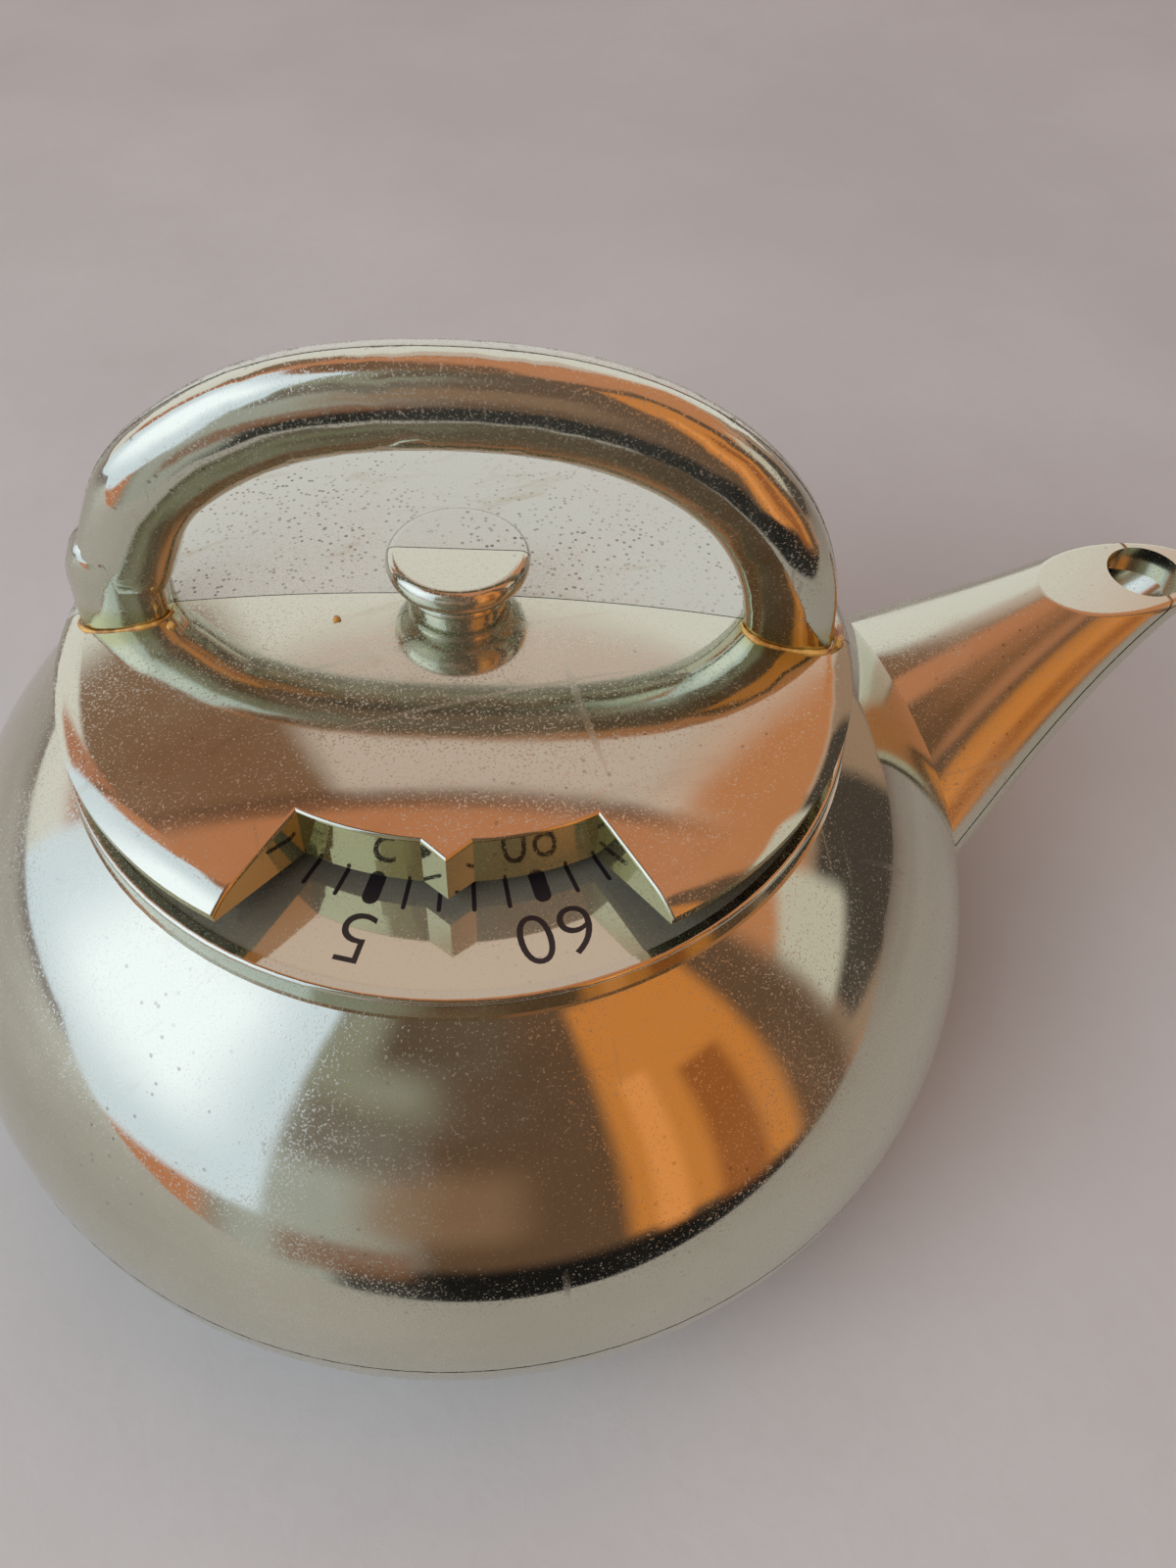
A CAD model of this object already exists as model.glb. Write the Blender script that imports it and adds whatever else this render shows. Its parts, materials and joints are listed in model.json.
"""Looks of a kettle-shaped wind-up kitchen timer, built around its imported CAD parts."""

import json
import math

import bmesh
import bpy
import numpy as np
from mathutils import Matrix, Vector
from mathutils.bvhtree import BVHTree

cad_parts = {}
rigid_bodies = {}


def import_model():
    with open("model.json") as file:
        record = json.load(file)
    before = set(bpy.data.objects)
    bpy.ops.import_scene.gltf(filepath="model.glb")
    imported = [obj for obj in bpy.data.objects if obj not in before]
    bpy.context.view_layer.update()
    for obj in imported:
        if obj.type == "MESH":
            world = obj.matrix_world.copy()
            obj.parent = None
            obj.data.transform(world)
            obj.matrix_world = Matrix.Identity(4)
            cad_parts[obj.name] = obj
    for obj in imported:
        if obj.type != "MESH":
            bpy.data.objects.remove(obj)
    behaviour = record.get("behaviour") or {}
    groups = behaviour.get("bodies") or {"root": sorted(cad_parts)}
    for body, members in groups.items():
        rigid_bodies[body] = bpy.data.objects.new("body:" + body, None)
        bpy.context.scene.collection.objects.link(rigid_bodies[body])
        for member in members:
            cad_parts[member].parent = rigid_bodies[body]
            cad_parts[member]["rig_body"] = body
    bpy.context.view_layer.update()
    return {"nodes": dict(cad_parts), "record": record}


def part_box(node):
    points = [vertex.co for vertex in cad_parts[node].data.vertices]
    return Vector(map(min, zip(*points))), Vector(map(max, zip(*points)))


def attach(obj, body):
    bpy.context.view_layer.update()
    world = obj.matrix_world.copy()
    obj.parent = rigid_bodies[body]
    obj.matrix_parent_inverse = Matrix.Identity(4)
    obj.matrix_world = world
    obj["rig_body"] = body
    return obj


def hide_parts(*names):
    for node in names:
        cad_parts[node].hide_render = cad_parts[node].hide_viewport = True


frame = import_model()
MM = 0.001
SLOT_OF = {part["node"]: part["material_slot"] for part in frame["record"]["subparts"]}

# ---------------------------------------------------------------- handle feet, for the glue round them
DIAL_TOP_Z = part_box("dial_plate")[1].z
HANDLE_TURN = math.radians(-17.4)
FOOT_SPAN = 24.9 * MM
FOOT_HALF = (3.7 * MM, 2.62 * MM)
FOOT_SQUARENESS = 2.8    # 2 is an ellipse, more is squarer
UNDER_HANDLE_Z = 53.4 * MM    # a height clear of the dome and under the handle's curve
OVER_DOME_Z = 57 * MM

# ---------------------------------------------------------------- reading window
LID_BASE_Z = DIAL_TOP_Z + 3.25 * MM
POINTER_TURN = math.radians(-106.2)
WINDOW_MIDDLE_R = 26 * MM
WINDOW_HALF_ANGLE = math.radians(38)
WINDOW_R = (20.5 * MM, 29.2 * MM)
WALL_MAX_TILT = 0.3
BASE_TOLERANCE = 0.05 * MM
SKIRT_DROP = 1.7 * MM
SKIRT_LEAST = 0.02    # share of the drop that is left at the rim
SKIRT_FADE = 1.6    # how steeply the drop grows inward from the rim
SKIRT_THICKNESS = 0.6 * MM
WELD = 1e-6

# ---------------------------------------------------------------- printed minute scale
MINUTES = 60
MINUTE_STEP = math.radians(360 / MINUTES)
ZERO_MARK = math.radians(-90)
MARK_OUTER = 23.2 * MM
MARK_INNER = 17.5 * MM
FINE_MARK_WIDTH = 0.3 * MM
BOLD_MARK_WIDTH = 1.15 * MM
INK = 0.02 * MM
NUMERAL_MIDDLE = 25.95 * MM
NUMERAL_HEIGHT = 3.9 * MM


# ---------------------------------------------------------------- node helpers
class Nodes:
    """Short calls for building a node tree."""

    def __init__(self, tree):
        self.tree = tree
        tree.nodes.clear()

    def add(self, kind, inputs=None, **settings):
        node = self.tree.nodes.new(kind)
        for name, value in settings.items():
            setattr(node, name, value)
        for name, value in (inputs or {}).items():
            self.put(value, node.inputs[name])
        return node

    def put(self, value, socket):
        if isinstance(value, bpy.types.NodeSocket):
            self.tree.links.new(value, socket)
        else:
            socket.default_value = value

    def math(self, operation, *values):
        inputs = dict(enumerate(values))
        return self.add("ShaderNodeMath", inputs, operation=operation).outputs[0]

    def ramp(self, value, low, high):
        """Smooth step from 0 at low to 1 at high."""
        inputs = {"Value": value, "From Min": low, "From Max": high, "To Min": 0.0, "To Max": 1.0}
        return self.add("ShaderNodeMapRange", inputs, interpolation_type="SMOOTHSTEP").outputs[0]

    def mix(self, share, first, second):
        node = self.add("ShaderNodeMix", {"Factor": share}, data_type="RGBA", blend_type="MIX")
        self.put(first, node.inputs["A"])
        self.put(second, node.inputs["B"])
        return node.outputs["Result"]

    def noise(self, scale, detail=3.0, roughness=0.5, stretch=(1, 1, 1), distortion=0.0, shift=0.0):
        """Noise in the piece's own coordinates; scale is in cycles per metre."""
        place = self.add("ShaderNodeTexCoord").outputs["Object"]
        place = self.add("ShaderNodeMapping", {"Vector": place, "Scale": stretch, "Location": (shift,) * 3})
        inputs = {"Vector": place.outputs[0], "Scale": scale, "Detail": detail,
                  "Roughness": roughness, "Distortion": distortion}
        return self.add("ShaderNodeTexNoise", inputs).outputs["Fac"]

    def cells(self, scale, shift=0.0):
        """Distance to the nearest of scattered points, in cells."""
        place = self.add("ShaderNodeTexCoord").outputs["Object"]
        place = self.add("ShaderNodeMapping", {"Vector": place, "Location": (shift,) * 3})
        inputs = {"Vector": place.outputs[0], "Scale": scale}
        return self.add("ShaderNodeTexVoronoi", inputs, feature="F1").outputs["Distance"]

    def own_place(self):
        """Coordinates x, y and z in the piece's own space."""
        place = self.add("ShaderNodeTexCoord").outputs["Object"]
        return self.add("ShaderNodeSeparateXYZ", {0: place}).outputs


def new_material(name):
    material = bpy.data.materials.new(name)
    material.use_nodes = True
    return material, Nodes(material.node_tree)


def finish_material(n, shader, surface=None):
    if surface is not None:
        n.put(surface, shader.inputs["Normal"])
    output = n.add("ShaderNodeOutputMaterial")
    n.tree.links.new(shader.outputs[0], output.inputs["Surface"])


def bump(n, height, depth, normal=None):
    """Bump whose height of 1 stands depth metres proud."""
    node = n.add("ShaderNodeBump", {"Height": height, "Distance": depth, "Strength": 1.0})
    if normal is not None:
        n.put(normal, node.inputs["Normal"])
    return node.outputs[0]


# ---------------------------------------------------------------- materials
CHROME_TINT = (0.60, 0.61, 0.49, 1)
MIRRORED_TINT = (0.62, 0.64, 0.55)
DUSTY_TINT = (0.53, 0.55, 0.48, 1)
OLIVE_TINT = (0.50, 0.49, 0.27, 1)
DIAL_TINT = (0.57, 0.55, 0.42, 1)
CHROME_DARK = (0.16, 0.15, 0.12, 1)
CHROME_STAIN = (0.40, 0.36, 0.24, 1)
CHROME_SPECK = (0.75, 0.76, 0.72, 1)
SPARSE_PITS = {"scale": 900, "outer": 0.17, "inner": 0.10, "zone": 0.50}
DENSE_PITS = {"scale": 1700, "outer": 0.30, "inner": 0.18, "zone": 0.34}
WAVE_DEPTH = 0.000012
SPECK_DEPTH = 0.000002


def low_walls(n):
    """1 on the steep walls low in the lid, where the plating has gone olive; 0 elsewhere."""
    normal = n.add("ShaderNodeNewGeometry").outputs["Normal"]
    upward = n.add("ShaderNodeSeparateXYZ", {0: normal}).outputs[2]
    steep = n.ramp(n.math("ABSOLUTE", upward), 0.75, 0.35)
    return n.math("MULTIPLY", steep, n.ramp(n.own_place()[2], 54.0 * MM, 52.5 * MM))


def pit_pattern(n, scale, outer, inner, zone):
    """Small round pits that gather in patches; zone sets how far the patches reach."""
    spots = n.ramp(n.cells(scale, 1.7), outer, inner)
    return n.math("MULTIPLY", spots, n.ramp(n.noise(70, 4, 0.6, shift=8.0), zone, 0.66))


def stain_pattern(n):
    return n.ramp(n.noise(120, 6, 0.7, (1, 2.5, 1), 0.6, 5.0), 0.56, 0.74)


def hair_scratches(n):
    """Thin short scratches along x and along y."""
    lines = n.ramp(n.noise(900, 1, 0.4, (1, 0.03, 0.2), 0.0, 2.0), 0.74, 0.77)
    cross = n.ramp(n.noise(800, 1, 0.4, (0.04, 1, 0.2), 0.0, 6.0), 0.74, 0.77)
    return n.math("MAXIMUM", lines, cross)


def on_spout(n):
    return n.ramp(n.own_place()[0], 38 * MM, 47 * MM)


def aged_chrome(name, tint=CHROME_TINT, haze=0.5, pitting=SPARSE_PITS, pits=0.5, dust=0.0, stain=0.3,
                olive=0.0, metal=1.0, spout=0.0):
    """Bright plating on plastic, with speckled haze, pits, hair scratches and a slow waviness.

    Each amount runs from 0 to 1: olive tints the lid's low walls, metal is how little of a dull film lies on
    it, and dust and spout roughen the whole piece or the spout alone.
    """
    material, n = new_material(name)
    haze_mask = n.math("MULTIPLY", n.ramp(n.noise(45, 5, 0.62, shift=3.1), 0.36, 0.68), haze)
    grain = n.math("ADD", n.noise(5200, 2, 0.7), n.math("MULTIPLY", haze_mask, 0.13))
    speckle = n.ramp(grain, 0.60, 0.71)
    pit_mask = n.math("MULTIPLY", pit_pattern(n, **pitting), pits)

    colour = n.mix(n.math("MULTIPLY", stain_pattern(n), stain), tint, CHROME_STAIN)
    if olive > 0:
        colour = n.mix(n.math("MULTIPLY", low_walls(n), olive), colour, OLIVE_TINT)
    colour = n.mix(n.math("MULTIPLY", speckle, 0.25), colour, CHROME_SPECK)
    colour = n.mix(pit_mask, colour, CHROME_DARK)

    rough = n.math("MULTIPLY_ADD", haze_mask, 0.10, 0.05 + dust)
    if spout > 0:
        rough = n.math("MULTIPLY_ADD", on_spout(n), spout, rough)
    rough = n.math("MULTIPLY_ADD", speckle, 0.26, rough)
    rough = n.math("MULTIPLY_ADD", hair_scratches(n), 0.12, rough)

    metallic = n.math("MULTIPLY_ADD", haze_mask, -0.08, metal)
    metallic = n.math("MULTIPLY_ADD", speckle, -0.05, metallic)

    waves = bump(n, n.noise(160, 2, 0.5, shift=4.0), WAVE_DEPTH)
    relief = n.math("MULTIPLY_ADD", pit_mask, -2.0, speckle)
    inputs = {"Metallic": metallic, "Base Color": colour, "Roughness": rough}
    shader = n.add("ShaderNodeBsdfPrincipled", inputs)
    finish_material(n, shader, bump(n, relief, SPECK_DEPTH, waves))
    return material


def plain_metal(name, colour, roughness, stretch=(1, 1, 8)):
    """Turned or rolled metal of one tone, with its grain and a little staining."""
    material, n = new_material(name)
    lines = n.noise(2500, 3, 0.6, stretch)
    patches = n.noise(180, 4, 0.6, shift=2.0)
    dark = tuple(c * 0.72 for c in colour) + (1,)
    tone = n.mix(n.ramp(patches, 0.35, 0.7), tuple(colour) + (1,), dark)
    rough = n.math("MULTIPLY_ADD", lines, 0.25, roughness - 0.1)
    shader = n.add("ShaderNodeBsdfPrincipled", {"Metallic": 1.0, "Base Color": tone, "Roughness": rough})
    finish_material(n, shader, bump(n, lines, 0.000004))
    return material


def plain_plastic(name, colour, roughness, texture=0.00001):
    """Moulded plastic or rubber with a fine spark-eroded texture."""
    material, n = new_material(name)
    grain = n.noise(3200, 3, 0.6)
    patches = n.noise(90, 4, 0.6, shift=7.0)
    light = tuple(min(1, c * 1.5 + 0.02) for c in colour) + (1,)
    tone = n.mix(n.math("MULTIPLY", n.ramp(patches, 0.45, 0.75), 0.5), tuple(colour) + (1,), light)
    rough = n.math("MULTIPLY_ADD", patches, 0.2, roughness - 0.1)
    shader = n.add("ShaderNodeBsdfPrincipled", {"Base Color": tone, "Roughness": rough})
    finish_material(n, shader, bump(n, grain, texture))
    return material


def ink():
    material, n = new_material("scale_ink")
    worn = n.ramp(n.noise(2600, 3, 0.7), 0.62, 0.78)
    tone = n.mix(n.math("MULTIPLY", worn, 0.5), (0.010, 0.008, 0.009, 1), (0.05, 0.045, 0.045, 1))
    shader = n.add("ShaderNodeBsdfPrincipled", {"Base Color": tone, "Roughness": 0.42})
    finish_material(n, shader, bump(n, worn, -0.000003))
    return material


def glue():
    material, n = new_material("amber_glue")
    patches = n.noise(900, 3, 0.6)
    tone = n.mix(n.ramp(patches, 0.35, 0.7), (0.24, 0.10, 0.02, 1), (0.50, 0.30, 0.08, 1))
    shader = n.add("ShaderNodeBsdfPrincipled", {"Base Color": tone, "Roughness": 0.22})
    finish_material(n, shader, bump(n, patches, 0.00003))
    return material


TABLE_EDGE = 92 * MM
TABLE_EDGE_SLOPE = 0.15


def past_table_edge(n):
    """1 where the table has ended, in front of the timer; the plating mirrors only as much table as that."""
    place = n.add("ShaderNodeNewGeometry").outputs["Position"]
    east, north, _ = n.add("ShaderNodeSeparateXYZ", {0: place}).outputs
    edge = n.math("ADD", north, n.math("MULTIPLY", east, TABLE_EDGE_SLOPE))
    return n.math("LESS_THAN", edge, -TABLE_EDGE)


def floor_material():
    """Pale matt table top, seen whole but mirrored only up to its near edge."""
    material, n = new_material("table_top")
    clouds = n.noise(9, 5, 0.6)
    fibres = n.noise(420, 4, 0.6, distortion=0.4)
    tone = n.mix(n.ramp(clouds, 0.3, 0.7), (0.290, 0.295, 0.290, 1), (0.330, 0.338, 0.336, 1))
    tone = n.mix(n.math("MULTIPLY", n.ramp(fibres, 0.4, 0.7), 0.12), tone, (0.29, 0.28, 0.275, 1))
    inputs = {"Base Color": tone, "Roughness": 0.75, "Normal": bump(n, fibres, 0.00005)}
    shader = n.add("ShaderNodeBsdfPrincipled", inputs)
    glossy = n.add("ShaderNodeLightPath").outputs["Is Glossy Ray"]
    both = n.add("ShaderNodeMixShader", {"Fac": n.math("MULTIPLY", past_table_edge(n), glossy)})
    n.tree.links.new(shader.outputs[0], both.inputs[1])
    n.tree.links.new(n.add("ShaderNodeBsdfTransparent").outputs[0], both.inputs[2])
    finish_material(n, both)
    return material


# ---------------------------------------------------------------- making pieces
def place_piece(name, mesh, material, body):
    """Puts a finished mesh in the scene as a piece that rides on a body."""
    mesh.name = name
    mesh.materials.clear()
    mesh.materials.append(material)
    piece = bpy.data.objects.new(name, mesh)
    bpy.context.scene.collection.objects.link(piece)
    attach(piece, body)
    return piece


def new_mesh(vertices, faces):
    mesh = bpy.data.meshes.new("piece")
    mesh.from_pydata(vertices, [], faces)
    mesh.validate()
    return mesh


def curve_mesh(curve):
    """Mesh of a curve or text with its thickness."""
    holder = bpy.data.objects.new("outline", curve)
    bpy.context.scene.collection.objects.link(holder)
    bpy.context.view_layer.update()
    shown = holder.evaluated_get(bpy.context.evaluated_depsgraph_get())
    mesh = bpy.data.meshes.new_from_object(shown)
    bpy.data.objects.remove(holder)
    return mesh


def polar_place(radius, angle, height):
    return Vector((radius * math.cos(angle), radius * math.sin(angle), height))


# ---------------------------------------------------------------- smooth plated pieces
FIT_DAMPING = [1e-7, 1e-7, 1e-4, 1e-4, 1e-4]    # keeps flat or thinly meshed places solvable
STEEPEST_FIT = 0.45    # a vertex with more slope than this sits on an edge and keeps its own normal
NEAR_WEIGHT = 0.2    # the smaller, the more the nearest vertices count


def neighbour_pairs(mesh):
    """Pairs of vertices one or two edges apart, as two arrays."""
    ends = np.empty(len(mesh.edges) * 2, np.int64)
    mesh.edges.foreach_get("vertices", ends)
    ends = ends.reshape(-1, 2)
    first = np.concatenate([ends[:, 0], ends[:, 1]])
    second = np.concatenate([ends[:, 1], ends[:, 0]])
    order = np.argsort(first, kind="stable")
    first, second = first[order], second[order]
    degree = np.bincount(first, minlength=len(mesh.vertices))
    start = np.cumsum(degree) - degree
    repeats = degree[second]
    within = np.arange(repeats.sum()) - np.repeat(np.cumsum(repeats) - repeats, repeats)
    far = second[np.repeat(start[second], repeats) + within]
    near = np.repeat(first, repeats)
    keep = near != far
    return np.concatenate([first, near[keep]]), np.concatenate([second, far[keep]])


def per_vertex(mesh, quality):
    """One three-part quality of every vertex, as rows."""
    values = np.empty(len(mesh.vertices) * 3)
    mesh.vertices.foreach_get(quality, values)
    return values.reshape(-1, 3)


def unit(rows):
    return rows / (np.linalg.norm(rows, axis=1, keepdims=True) + 1e-12)


def row_dot(one, other):
    return np.einsum("ij,ij->i", one, other)


def fitted_slopes(u, v, rise, weight, here, count):
    """Slope along u and v at each vertex, of the quadric that fits the vertices round it best."""
    terms = [u, v, u * u / 2, u * v, v * v / 2]
    system, right = np.zeros((count, 5, 5)), np.zeros((count, 5))
    for i, one in enumerate(terms):
        right[:, i] = np.bincount(here, weight * one * rise, count)
        for j, other in enumerate(terms[i:], i):
            system[:, i, j] = system[:, j, i] = np.bincount(here, weight * one * other, count)
    system += np.diag(FIT_DAMPING)
    slopes = np.linalg.solve(system, right[:, :, None])[:, :2, 0]
    slopes[np.abs(slopes).max(axis=1) > STEEPEST_FIT] = 0
    return slopes


def fitted_normals(mesh):
    """Normals of the smooth surface that the vertices lie on, from a quadric fitted round each of them."""
    count = len(mesh.vertices)
    place, rough = per_vertex(mesh, "co"), per_vertex(mesh, "normal")
    helper = np.where(np.abs(rough[:, :1]) < 0.7, [[1.0, 0, 0]], [[0, 1.0, 0]])
    across = unit(np.cross(rough, helper))
    along = np.cross(rough, across)
    here, there = neighbour_pairs(mesh)
    step = place[there] - place[here]
    size = np.linalg.norm(step, axis=1)
    neighbours = np.maximum(np.bincount(here, minlength=count), 1)
    scale = (np.bincount(here, size, count) / neighbours + 1e-9)[here]
    u = row_dot(step, across[here]) / scale
    v = row_dot(step, along[here]) / scale
    rise = row_dot(step, rough[here]) / scale
    weight = 1 / (NEAR_WEIGHT + (size / scale) ** 2)
    slopes = fitted_slopes(u, v, rise, weight, here, count)
    return unit(rough - slopes[:, :1] * across - slopes[:, 1:] * along)


def plated(node, name, material):
    """A piece in the CAD part's own shape, shaded by its true surface so that its reflections run smooth."""
    part = frame["nodes"][node]
    mesh = part.data.copy()
    mesh.shade_smooth()
    mesh.normals_split_custom_set_from_vertices(fitted_normals(mesh).tolist())
    piece = place_piece(name, mesh, material, part["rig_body"])
    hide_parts(node)


def give(node, material):
    """A CAD part takes a material."""
    part = frame["nodes"][node]
    part.data.materials.clear()
    part.data.materials.append(material)


def dress_parts():
    shell = aged_chrome("aged_chrome_body", haze=0.6, stain=0.15, spout=0.13)
    front = aged_chrome("aged_chrome_lid_front", haze=0.45, olive=0.85)
    rear = aged_chrome("aged_chrome_lid_rear", DUSTY_TINT, haze=1.0, pitting=DENSE_PITS, pits=1.0, dust=0.10,
                       stain=0.6, olive=0.6, metal=0.92)
    dial = aged_chrome("mirror_dial", DIAL_TINT, haze=0.15, pits=0.3, stain=0.1, metal=0.86)
    steel = plain_metal("zinc_plated_steel", (0.60, 0.60, 0.58), 0.32)
    bell = plain_metal("nickel_plated_bell", (0.66, 0.65, 0.62), 0.22, stretch=(1, 1, 20))
    brass = plain_metal("rolled_brass", (0.70, 0.53, 0.25), 0.30)
    spring = plain_metal("blued_spring_steel", (0.16, 0.19, 0.27), 0.30, stretch=(1, 1, 0.2))
    hub = plain_plastic("natural_acetal", (0.72, 0.70, 0.64), 0.45)
    black = plain_plastic("black_moulding", (0.030, 0.030, 0.032), 0.42, 0.00002)
    rubber = plain_plastic("foot_rubber", (0.035, 0.034, 0.034), 0.75)
    by_slot = {"chrome_shell": shell, "dial": dial, "base_black": black, "feet_rubber": rubber,
               "steel": steel, "bell_steel": bell, "brass": brass, "spring_steel": spring,
               "hub_plastic": hub, "chrome_lid": front}
    for node, slot in SLOT_OF.items():
        give(node, by_slot[slot])
    plated("upper_shell", "plated_upper_shell", shell)
    plated("lower_shell", "plated_lower_shell", shell)
    plated("lid_front_half", "plated_lid_front", front)
    plated("lid_rear_half", "plated_lid_rear", rear)
    window_skirt(front)
    glue_pieces(glue())


# ---------------------------------------------------------------- skirt of the reading window
def in_window(point):
    """Whether a point lies within the window's sector and ring of the lid."""
    angle = math.atan2(point.y, point.x) - POINTER_TURN
    near = abs(math.remainder(angle, 2 * math.pi)) < WINDOW_HALF_ANGLE
    return near and WINDOW_R[0] < math.hypot(point.x, point.y) < WINDOW_R[1]


def is_window_wall(face):
    """Whether a face is a steep one that looks into the window."""
    middle = polar_place(WINDOW_MIDDLE_R, POINTER_TURN, 0)
    looks_in = face.normal.dot(middle - face.center) > 0
    return abs(face.normal.z) <= WALL_MAX_TILT and looks_in and in_window(face.center)


def window_base_edges():
    """Lowest edges of the window's walls, as two points and the wall's normal."""
    mesh = frame["nodes"]["lid_front_half"].data
    edges = []
    for face in filter(is_window_wall, mesh.polygons):
        corners = [mesh.vertices[i].co for i in face.vertices]
        for one, other in zip(corners, corners[1:] + corners[:1]):
            at_base = max(one.z, other.z) < LID_BASE_Z + BASE_TOLERANCE
            if at_base and (one - other).length > WELD / 10:
                edges.append((one.copy(), other.copy(), face.normal.copy()))
    return edges


def skirt_drop(point):
    """How far the skirt hangs down there: full at the back of the window, nothing near the rim."""
    reach = (WINDOW_R[1] - math.hypot(point.x, point.y)) / (WINDOW_R[1] - WINDOW_R[0])
    return Vector((0, 0, SKIRT_DROP * min(1, max(SKIRT_LEAST, reach * SKIRT_FADE))))


def window_skirt(material):
    """Wall of the reading window carried on down towards the dial, as a thin closed strip."""
    edges = window_base_edges()
    facing = {}
    for one, other, normal in edges:
        for point in (one, other):
            facing.setdefault(point.to_tuple(6), Vector()).xyz += normal
    vertices, faces = [], []
    for one, other, _ in edges:
        base = len(vertices)
        for point in (one, other):
            back = point - facing[point.to_tuple(6)].normalized() * SKIRT_THICKNESS
            for place in (point, back):
                vertices += [place, place - skirt_drop(point)]
        for ring in ((0, 1, 5, 4), (2, 6, 7, 3), (0, 4, 6, 2), (1, 3, 7, 5)):
            faces.append([base + i for i in ring])
    mesh = new_mesh(vertices, faces)
    shape = bmesh.new()
    shape.from_mesh(mesh)
    bmesh.ops.remove_doubles(shape, verts=shape.verts, dist=WELD)
    bmesh.ops.holes_fill(shape, edges=shape.edges, sides=4)
    bmesh.ops.recalc_face_normals(shape, faces=shape.faces)
    shape.to_mesh(mesh)
    shape.free()
    place_piece("window_skirt", mesh, material, "lid")


# ---------------------------------------------------------------- glue and flash on the lid
def lid_surface():
    """Both halves of the lid, ready for finding the height of its surface."""
    trees = []
    for node in ("lid_front_half", "lid_rear_half"):
        mesh = frame["nodes"][node].data
        points = [v.co for v in mesh.vertices]
        trees.append(BVHTree.FromPolygons(points, [list(p.vertices) for p in mesh.polygons]))
    return trees


def on_lid(trees, along, across, start):
    """Point of the lid straight below a place given along and across the handle."""
    turned = Vector((along, across, start))
    turned.rotate(Matrix.Rotation(HANDLE_TURN, 3, "Z"))
    hits = [tree.ray_cast(turned, Vector((0, 0, -1)))[0] for tree in trees]
    return max((h for h in hits if h), key=lambda h: h.z)


def bead(name, points, radii, material):
    """Round bead along the points with its own radius at each."""
    curve = bpy.data.curves.new(name, "CURVE")
    curve.dimensions = "3D"
    curve.bevel_depth = 1.0
    curve.bevel_resolution = 4
    curve.use_fill_caps = True
    line = curve.splines.new("NURBS")
    line.points.add(len(points) - 1)
    for place, radius, spot in zip(points, radii, line.points):
        spot.co = (*place, 1)
        spot.radius = radius
    line.order_u = 3
    line.use_endpoint_u = True
    mesh = curve_mesh(curve)
    mesh.shade_smooth()
    place_piece(name, mesh, material, "lid")


def foot_outline(turn):
    """Point on the outline of a handle foot of unit size, an oval between an ellipse and a rectangle."""
    power = 2 / FOOT_SQUARENESS
    return [math.copysign(abs(f) ** power, f) for f in (math.cos(turn), math.sin(turn))]


def foot_bead(name, trees, side, first, last, material, thick=0.16 * MM, steps=22):
    """Line of glue round one handle foot from a first to a last angle, uneven in thickness."""
    points, radii = [], []
    for i in range(steps + 1):
        turn = math.radians(first + (last - first) * i / steps)
        reach = foot_outline(turn)
        along = side * (FOOT_SPAN + FOOT_HALF[0] * reach[0])
        points.append(on_lid(trees, along, FOOT_HALF[1] * reach[1], UNDER_HANDLE_Z))
        radii.append(thick * (1 + 0.35 * math.sin(5.1 * turn + side) + 0.2 * math.sin(13 * turn)))
    bead(name, points, radii, material)


def drip(trees, material):
    """Squeezed-out glue that runs off the outer end of the right foot, round to the rear."""
    top = Vector((0, 0, 0.9 * MM))
    course = ((28.75, -1.2), (29.1, 0.1), (29.3, 1.5))
    places = [on_lid(trees, along * MM, across * MM, OVER_DOME_Z) for along, across in course]
    radii = [0.2 * MM, 0.42 * MM, 0.36 * MM, 0.2 * MM]
    bead("glue_drip", [places[0] + top, *places], radii, material)


def blob(name, place, size, material):
    """Small uneven lump of flash or glue, a little flattened."""
    shape = bmesh.new()
    bmesh.ops.create_icosphere(shape, subdivisions=3, radius=1)
    for v in shape.verts:
        wobble = 1 + 0.16 * math.sin(3.1 * v.co.x + 2 * v.co.y) + 0.10 * math.sin(5 * v.co.y - 4 * v.co.z)
        v.co = Vector((v.co.x, v.co.y, 0.8 * v.co.z)) * size * wobble + place
    mesh = bpy.data.meshes.new(name)
    shape.to_mesh(mesh)
    shape.free()
    mesh.shade_smooth()
    place_piece(name, mesh, material, "lid")


def glue_pieces(material):
    trees = lid_surface()
    foot_bead("glue_line_left_foot", trees, -1, -165, -5, material)
    foot_bead("glue_line_right_foot", trees, 1, -175, 25, material, 0.20 * MM)
    drip(trees, material)
    dome_spot = on_lid(trees, -8.8 * MM, -2.8 * MM, OVER_DOME_Z)
    foot_spot = on_lid(trees, -21.1 * MM, -2.6 * MM, OVER_DOME_Z)
    blob("flash_bump_lid", dome_spot, 0.3 * MM, material)
    blob("flash_bump_left_foot", foot_spot, 0.34 * MM, material)


# ---------------------------------------------------------------- printed scale on the dial plate
def mark_outline(width, inner, outer, angle, steps=8):
    """Bar along a radius with a rounded outer end."""
    along = Vector((math.cos(angle), math.sin(angle), 0))
    across = Vector((-along.y, along.x, 0))
    half = width / 2
    points = [along * inner - across * half]
    for i in range(steps + 1):
        turn = math.pi * i / steps - math.pi / 2
        points.append(along * (outer - half + half * math.cos(turn)) + across * half * math.sin(turn))
    points.append(along * inner + across * half)
    return points


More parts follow.
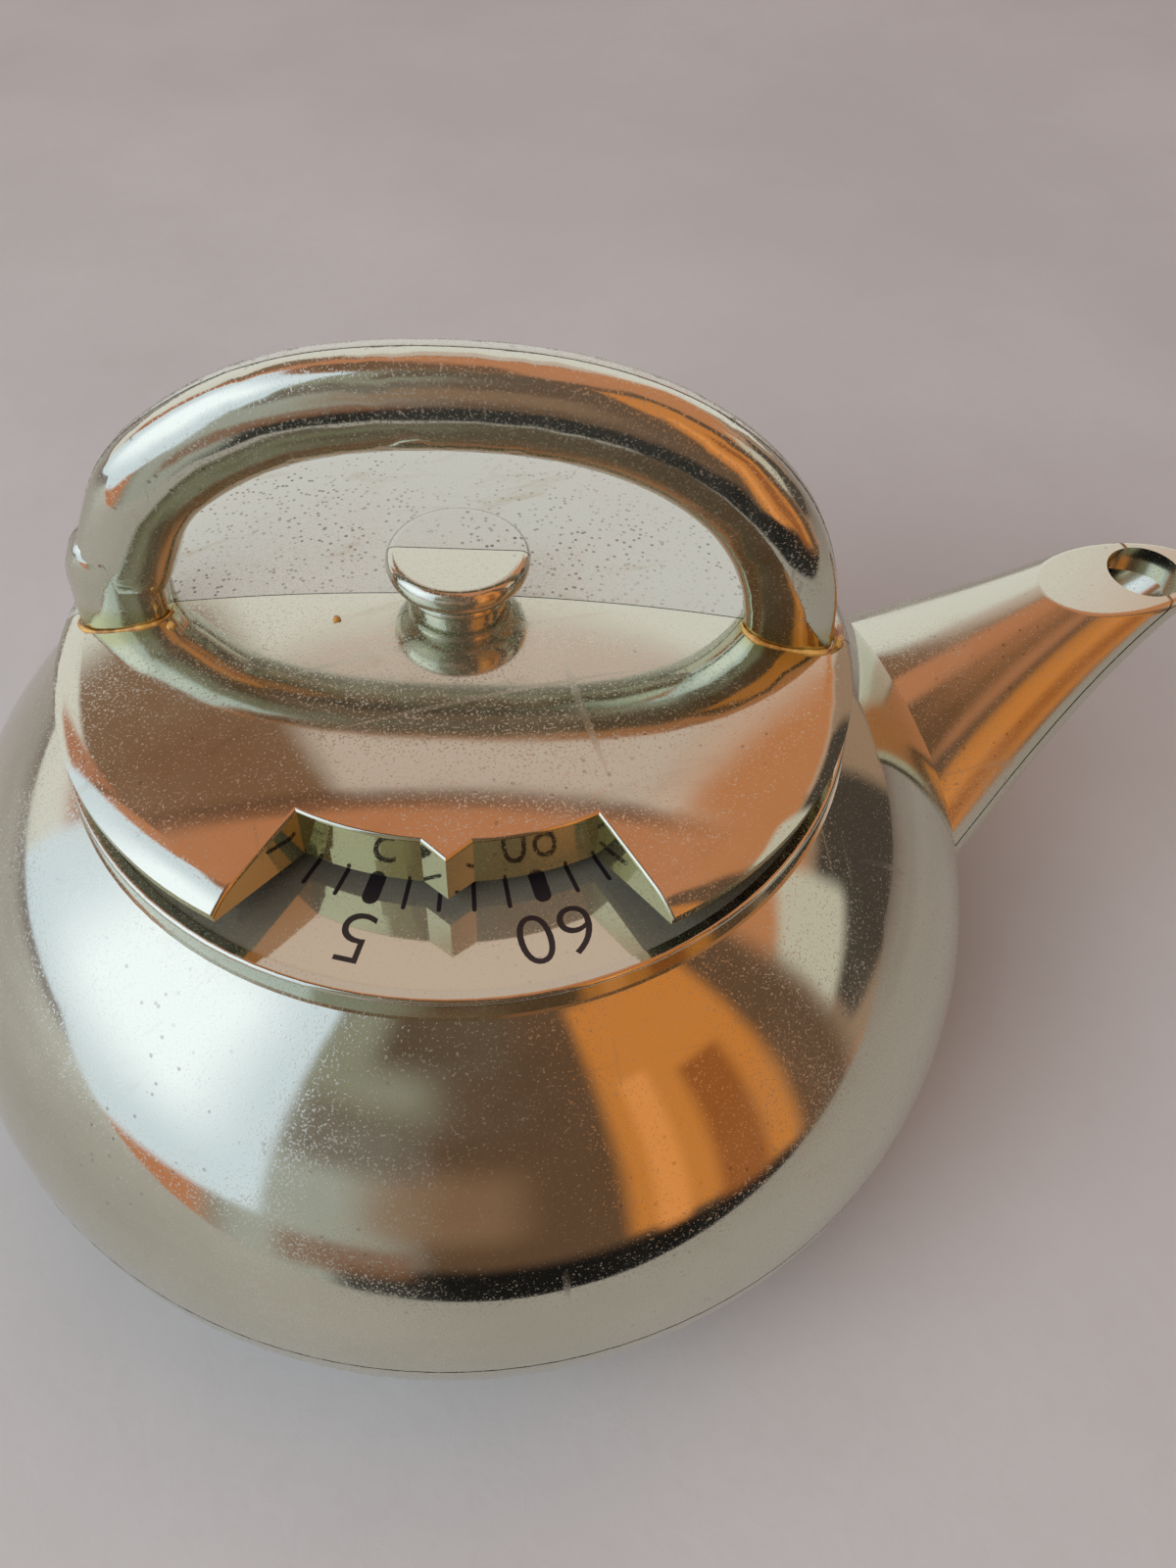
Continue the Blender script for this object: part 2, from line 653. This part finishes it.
def prism(outline, low, high, vertices, faces):
    """Adds a closed flat bar of that outline to the two lists."""
    base, count = len(vertices), len(outline)
    for level in (low, high):
        vertices += [(p.x, p.y, level) for p in outline]
    faces.append([base + i for i in reversed(range(count))])
    faces.append([base + count + i for i in range(count)])
    for i in range(count):
        j = (i + 1) % count
        faces.append([base + i, base + j, base + count + j, base + count + i])


def minute_marks(material):
    """A mark every minute, bolder every five."""
    vertices, faces = [], []
    for minute in range(MINUTES):
        angle = ZERO_MARK - minute * MINUTE_STEP
        width = BOLD_MARK_WIDTH if minute % 5 == 0 else FINE_MARK_WIDTH
        outline = mark_outline(width, MARK_INNER, MARK_OUTER, angle)
        prism(outline, DIAL_TOP_Z - INK / 2, DIAL_TOP_Z + INK, vertices, faces)
    place_piece("printed_minute_marks", new_mesh(vertices, faces), material, "case")


def numeral_mesh(text):
    """Slightly thinned digits, 1 unit of text size tall and 1 unit thick."""
    curve = bpy.data.curves.new("numeral", "FONT")
    curve.body = text
    curve.align_x = "CENTER"
    curve.offset = -0.012
    curve.extrude = 0.5
    curve.resolution_u = 6
    return curve_mesh(curve)


def numerals(material):
    """Numbers every five minutes, their tops pointing outward."""
    vertices, faces = [], []
    for minute in range(5, MINUTES + 1, 5):
        mesh = numeral_mesh(str(minute))
        tall = max(v.co.y for v in mesh.vertices)
        low = min(v.co.y for v in mesh.vertices)
        scale = NUMERAL_HEIGHT / (tall - low)
        angle = ZERO_MARK - minute * MINUTE_STEP
        outward = polar_place(1, angle, 0)
        right = Vector((outward.y, -outward.x, 0))
        base = len(vertices)
        for v in mesh.vertices:
            flat = right * (v.co.x * scale)
            flat += outward * (NUMERAL_MIDDLE + (v.co.y - (tall + low) / 2) * scale)
            vertices.append((flat.x, flat.y, DIAL_TOP_Z + (INK if v.co.z > 0 else -INK / 2)))
        faces += [[base + i for i in p.vertices] for p in mesh.polygons]
        bpy.data.meshes.remove(mesh)
    place_piece("printed_numerals", new_mesh(vertices, faces), material, "case")


# ---------------------------------------------------------------- studio
CAMERA_PLACE = Vector((-14.94, -70.89, 118.29)) * MM
CAMERA_RIGHT = Vector((0.95347, -0.29878, 0.04026))
CAMERA_UP = Vector((0.20448, 0.73900, 0.64192))
CAMERA_LENS = 29.45


def camera():
    data = bpy.data.cameras.new("camera")
    data.lens = CAMERA_LENS
    data.sensor_width = 36
    data.clip_start = 0.002
    data.clip_end = 50
    back = CAMERA_RIGHT.cross(CAMERA_UP)
    turn = Matrix((CAMERA_RIGHT, CAMERA_UP, back)).transposed()
    holder = bpy.data.objects.new("camera", data)
    holder.matrix_world = Matrix.Translation(CAMERA_PLACE) @ turn.to_4x4()
    bpy.context.scene.collection.objects.link(holder)
    bpy.context.scene.camera = holder


def srgb(r, g, b):
    """Linear colour of an 8-bit display colour."""
    def linear(c):
        c /= 255
        return c / 12.92 if c <= 0.04045 else ((c + 0.055) / 1.055) ** 2.4
    return (linear(r), linear(g), linear(b), 1)


def seen(r, g, b):
    """Light that shows as this 8-bit display colour when the plating mirrors it."""
    return tuple(c / t for c, t in zip(srgb(r, g, b)[:3], MIRRORED_TINT)) + (1,)


def glare(colour, strength):
    """The same colour so bright that its mirror image burns out."""
    return tuple(c * strength for c in colour[:3]) + (1,)


class Surround:
    """Studio surround: soft-edged cards of colour on the sky, by compass and height in degrees."""

    def __init__(self, colour):
        world = bpy.data.worlds.new("studio")
        bpy.context.scene.world = world
        world.use_nodes = True
        self.n = Nodes(world.node_tree)
        self.look = self.n.add("ShaderNodeTexCoord").outputs["Generated"]
        east, north, up = self.n.add("ShaderNodeSeparateXYZ", {0: self.look}).outputs
        self.compass = self.n.math("DEGREES", self.n.math("ARCTAN2", east, north))
        self.height = self.n.math("DEGREES", self.n.math("ARCSINE", up))
        self.colour = self.n.mix(0.0, colour, colour)

    def lay(self, mask, colour, share):
        if share != 1.0:
            mask = self.n.math("MULTIPLY", mask, share)
        self.colour = self.n.mix(mask, self.colour, colour)

    def card(self, west, east, low, high, colour, soft=3.0, share=1.0, slope=0.0):
        """A card from west to east and low to high; slope raises both edges eastward."""
        n = self.n
        middle, half = (west + east) / 2, (east - west) / 2
        aside = n.math("WRAP", n.math("SUBTRACT", self.compass, middle), -180, 180)
        inside = n.ramp(n.math("ABSOLUTE", aside), half + soft, half - soft)
        level = n.math("SUBTRACT", self.height, n.math("MULTIPLY", aside, slope))
        above = n.ramp(level, low - soft, low + soft)
        below = n.ramp(level, high + soft, high - soft)
        self.lay(n.math("MULTIPLY", inside, n.math("MULTIPLY", above, below)), colour, share)

    def ceiling(self, compass, height, colour, line, line_width):
        """Everything past a straight line, given by its highest point, with a dark line along it."""
        turn, tilt = math.radians(compass + 180), math.radians(90 - height)
        inward = (math.sin(turn) * math.cos(tilt), math.cos(turn) * math.cos(tilt), math.sin(tilt))
        past = self.n.add("ShaderNodeVectorMath", {0: self.look, 1: inward}, operation="DOT_PRODUCT")
        past = past.outputs["Value"]
        self.lay(self.n.ramp(past, -0.01, 0.01), colour, 1.0)
        self.lay(self.n.ramp(self.n.math("ABSOLUTE", past), line_width, 0.3 * line_width), line, 0.75)

    def done(self, strength, backdrop):
        """Ends the tree; the sky seen directly, past the table, is a plain backdrop."""
        direct = self.n.add("ShaderNodeLightPath").outputs["Is Camera Ray"]
        colour = self.n.mix(direct, self.colour, backdrop)
        back = self.n.add("ShaderNodeBackground", {"Color": colour, "Strength": strength})
        output = self.n.add("ShaderNodeOutputWorld")
        self.n.tree.links.new(back.outputs[0], output.inputs["Surface"])


def surround():
    """Cards for the ceiling and far wall, the warm right, the dim side behind the camera and the window."""
    s = Surround(seen(214, 214, 202))
    s.card(-14, 50, 44, 70, seen(193, 176, 160))
    s.card(-60, -13, 33, 66, seen(124, 92, 66))
    s.card(-60, -44, 12, 66, seen(170, 112, 78))
    s.ceiling(18, 66, seen(184, 122, 82), seen(96, 68, 50), 0.028)
    s.card(-175, -60, 58, 82, seen(104, 74, 48), soft=8)
    s.card(50, 136, 26, 62, seen(186, 124, 80), soft=6)
    s.card(60, 136, -10, 27, seen(150, 124, 100))
    s.card(78, 117, -3, 24, seen(70, 62, 53), soft=2)
    s.card(100, 120, 10, 31, seen(194, 188, 168), soft=2.5, slope=-0.5)
    s.card(120, 240, -60, 60, seen(96, 72, 52), soft=4)
    s.card(206, 240, -60, 48, seen(156, 160, 148), soft=6)
    s.card(196, 232, 26, 58, seen(136, 136, 116), soft=6)
    s.card(174, 204, 20, 46, seen(92, 70, 52), soft=7, share=0.85)
    s.card(185, 218, 40, 60, seen(90, 74, 56), soft=5)
    s.card(186, 214, -8, 14, seen(134, 104, 78), soft=6, share=0.8)
    s.card(204, 230, 12, 30, seen(84, 62, 46), soft=5, share=0.7)
    s.card(134, 168, -16, 52, seen(200, 126, 58), soft=2.5)
    s.card(141, 151, -20, 26, seen(150, 88, 42), soft=2)
    s.card(157, 163, -19, 30, seen(224, 146, 78), soft=1.5)
    s.card(120, 218, -75, -18, seen(24, 23, 21), soft=3)
    s.card(205, 228, -22, -11, seen(120, 76, 46), soft=2.5, share=0.8)
    s.card(-129, -57, -9, 57, seen(212, 228, 236), soft=1.5)
    s.card(-116, -74, 6, 46, glare(seen(236, 248, 252), 1.2), soft=10)
    s.done(0.88, srgb(214, 210, 206))


def area_light(name, place, target, size, power, colour):
    """Soft rectangular light that lights the scene but shows in no mirror."""
    data = bpy.data.lights.new(name, "AREA")
    data.shape = "RECTANGLE"
    data.size, data.size_y = size
    data.energy = power
    data.color = colour
    holder = bpy.data.objects.new(name, data)
    direction = Vector(target) - Vector(place)
    holder.rotation_mode = "QUATERNION"
    holder.rotation_quaternion = direction.to_track_quat("-Z", "Y")
    holder.location = place
    holder.visible_glossy = False
    bpy.context.scene.collection.objects.link(holder)


TABLE_HALF = 3.0


def stage():
    """Table top and two soft lights, a cool one from the left and a warm one overhead."""
    corners = [(x * TABLE_HALF, y * TABLE_HALF, 0) for x, y in ((-1, -1), (1, -1), (1, 1), (-1, 1))]
    mesh = new_mesh(corners, [(0, 1, 2, 3)])
    mesh.materials.append(floor_material())
    table = bpy.data.objects.new("table", mesh)
    bpy.context.scene.collection.objects.link(table)
    cool, warm = (0.90, 0.96, 1.0), (1.0, 0.93, 0.90)
    area_light("soft_window", (-0.44, -0.24, 0.40), (-0.04, -0.03, 0.02), (0.5, 0.4), 4.6, cool)
    area_light("soft_top", (0.10, 0.15, 1.1), (0, 0, 0.02), (1.2, 1.2), 4.2, warm)


# ---------------------------------------------------------------- build
camera()
surround()
stage()
dress_parts()
scale_ink = ink()
minute_marks(scale_ink)
numerals(scale_ink)
bpy.context.scene.view_settings.view_transform = "Standard"
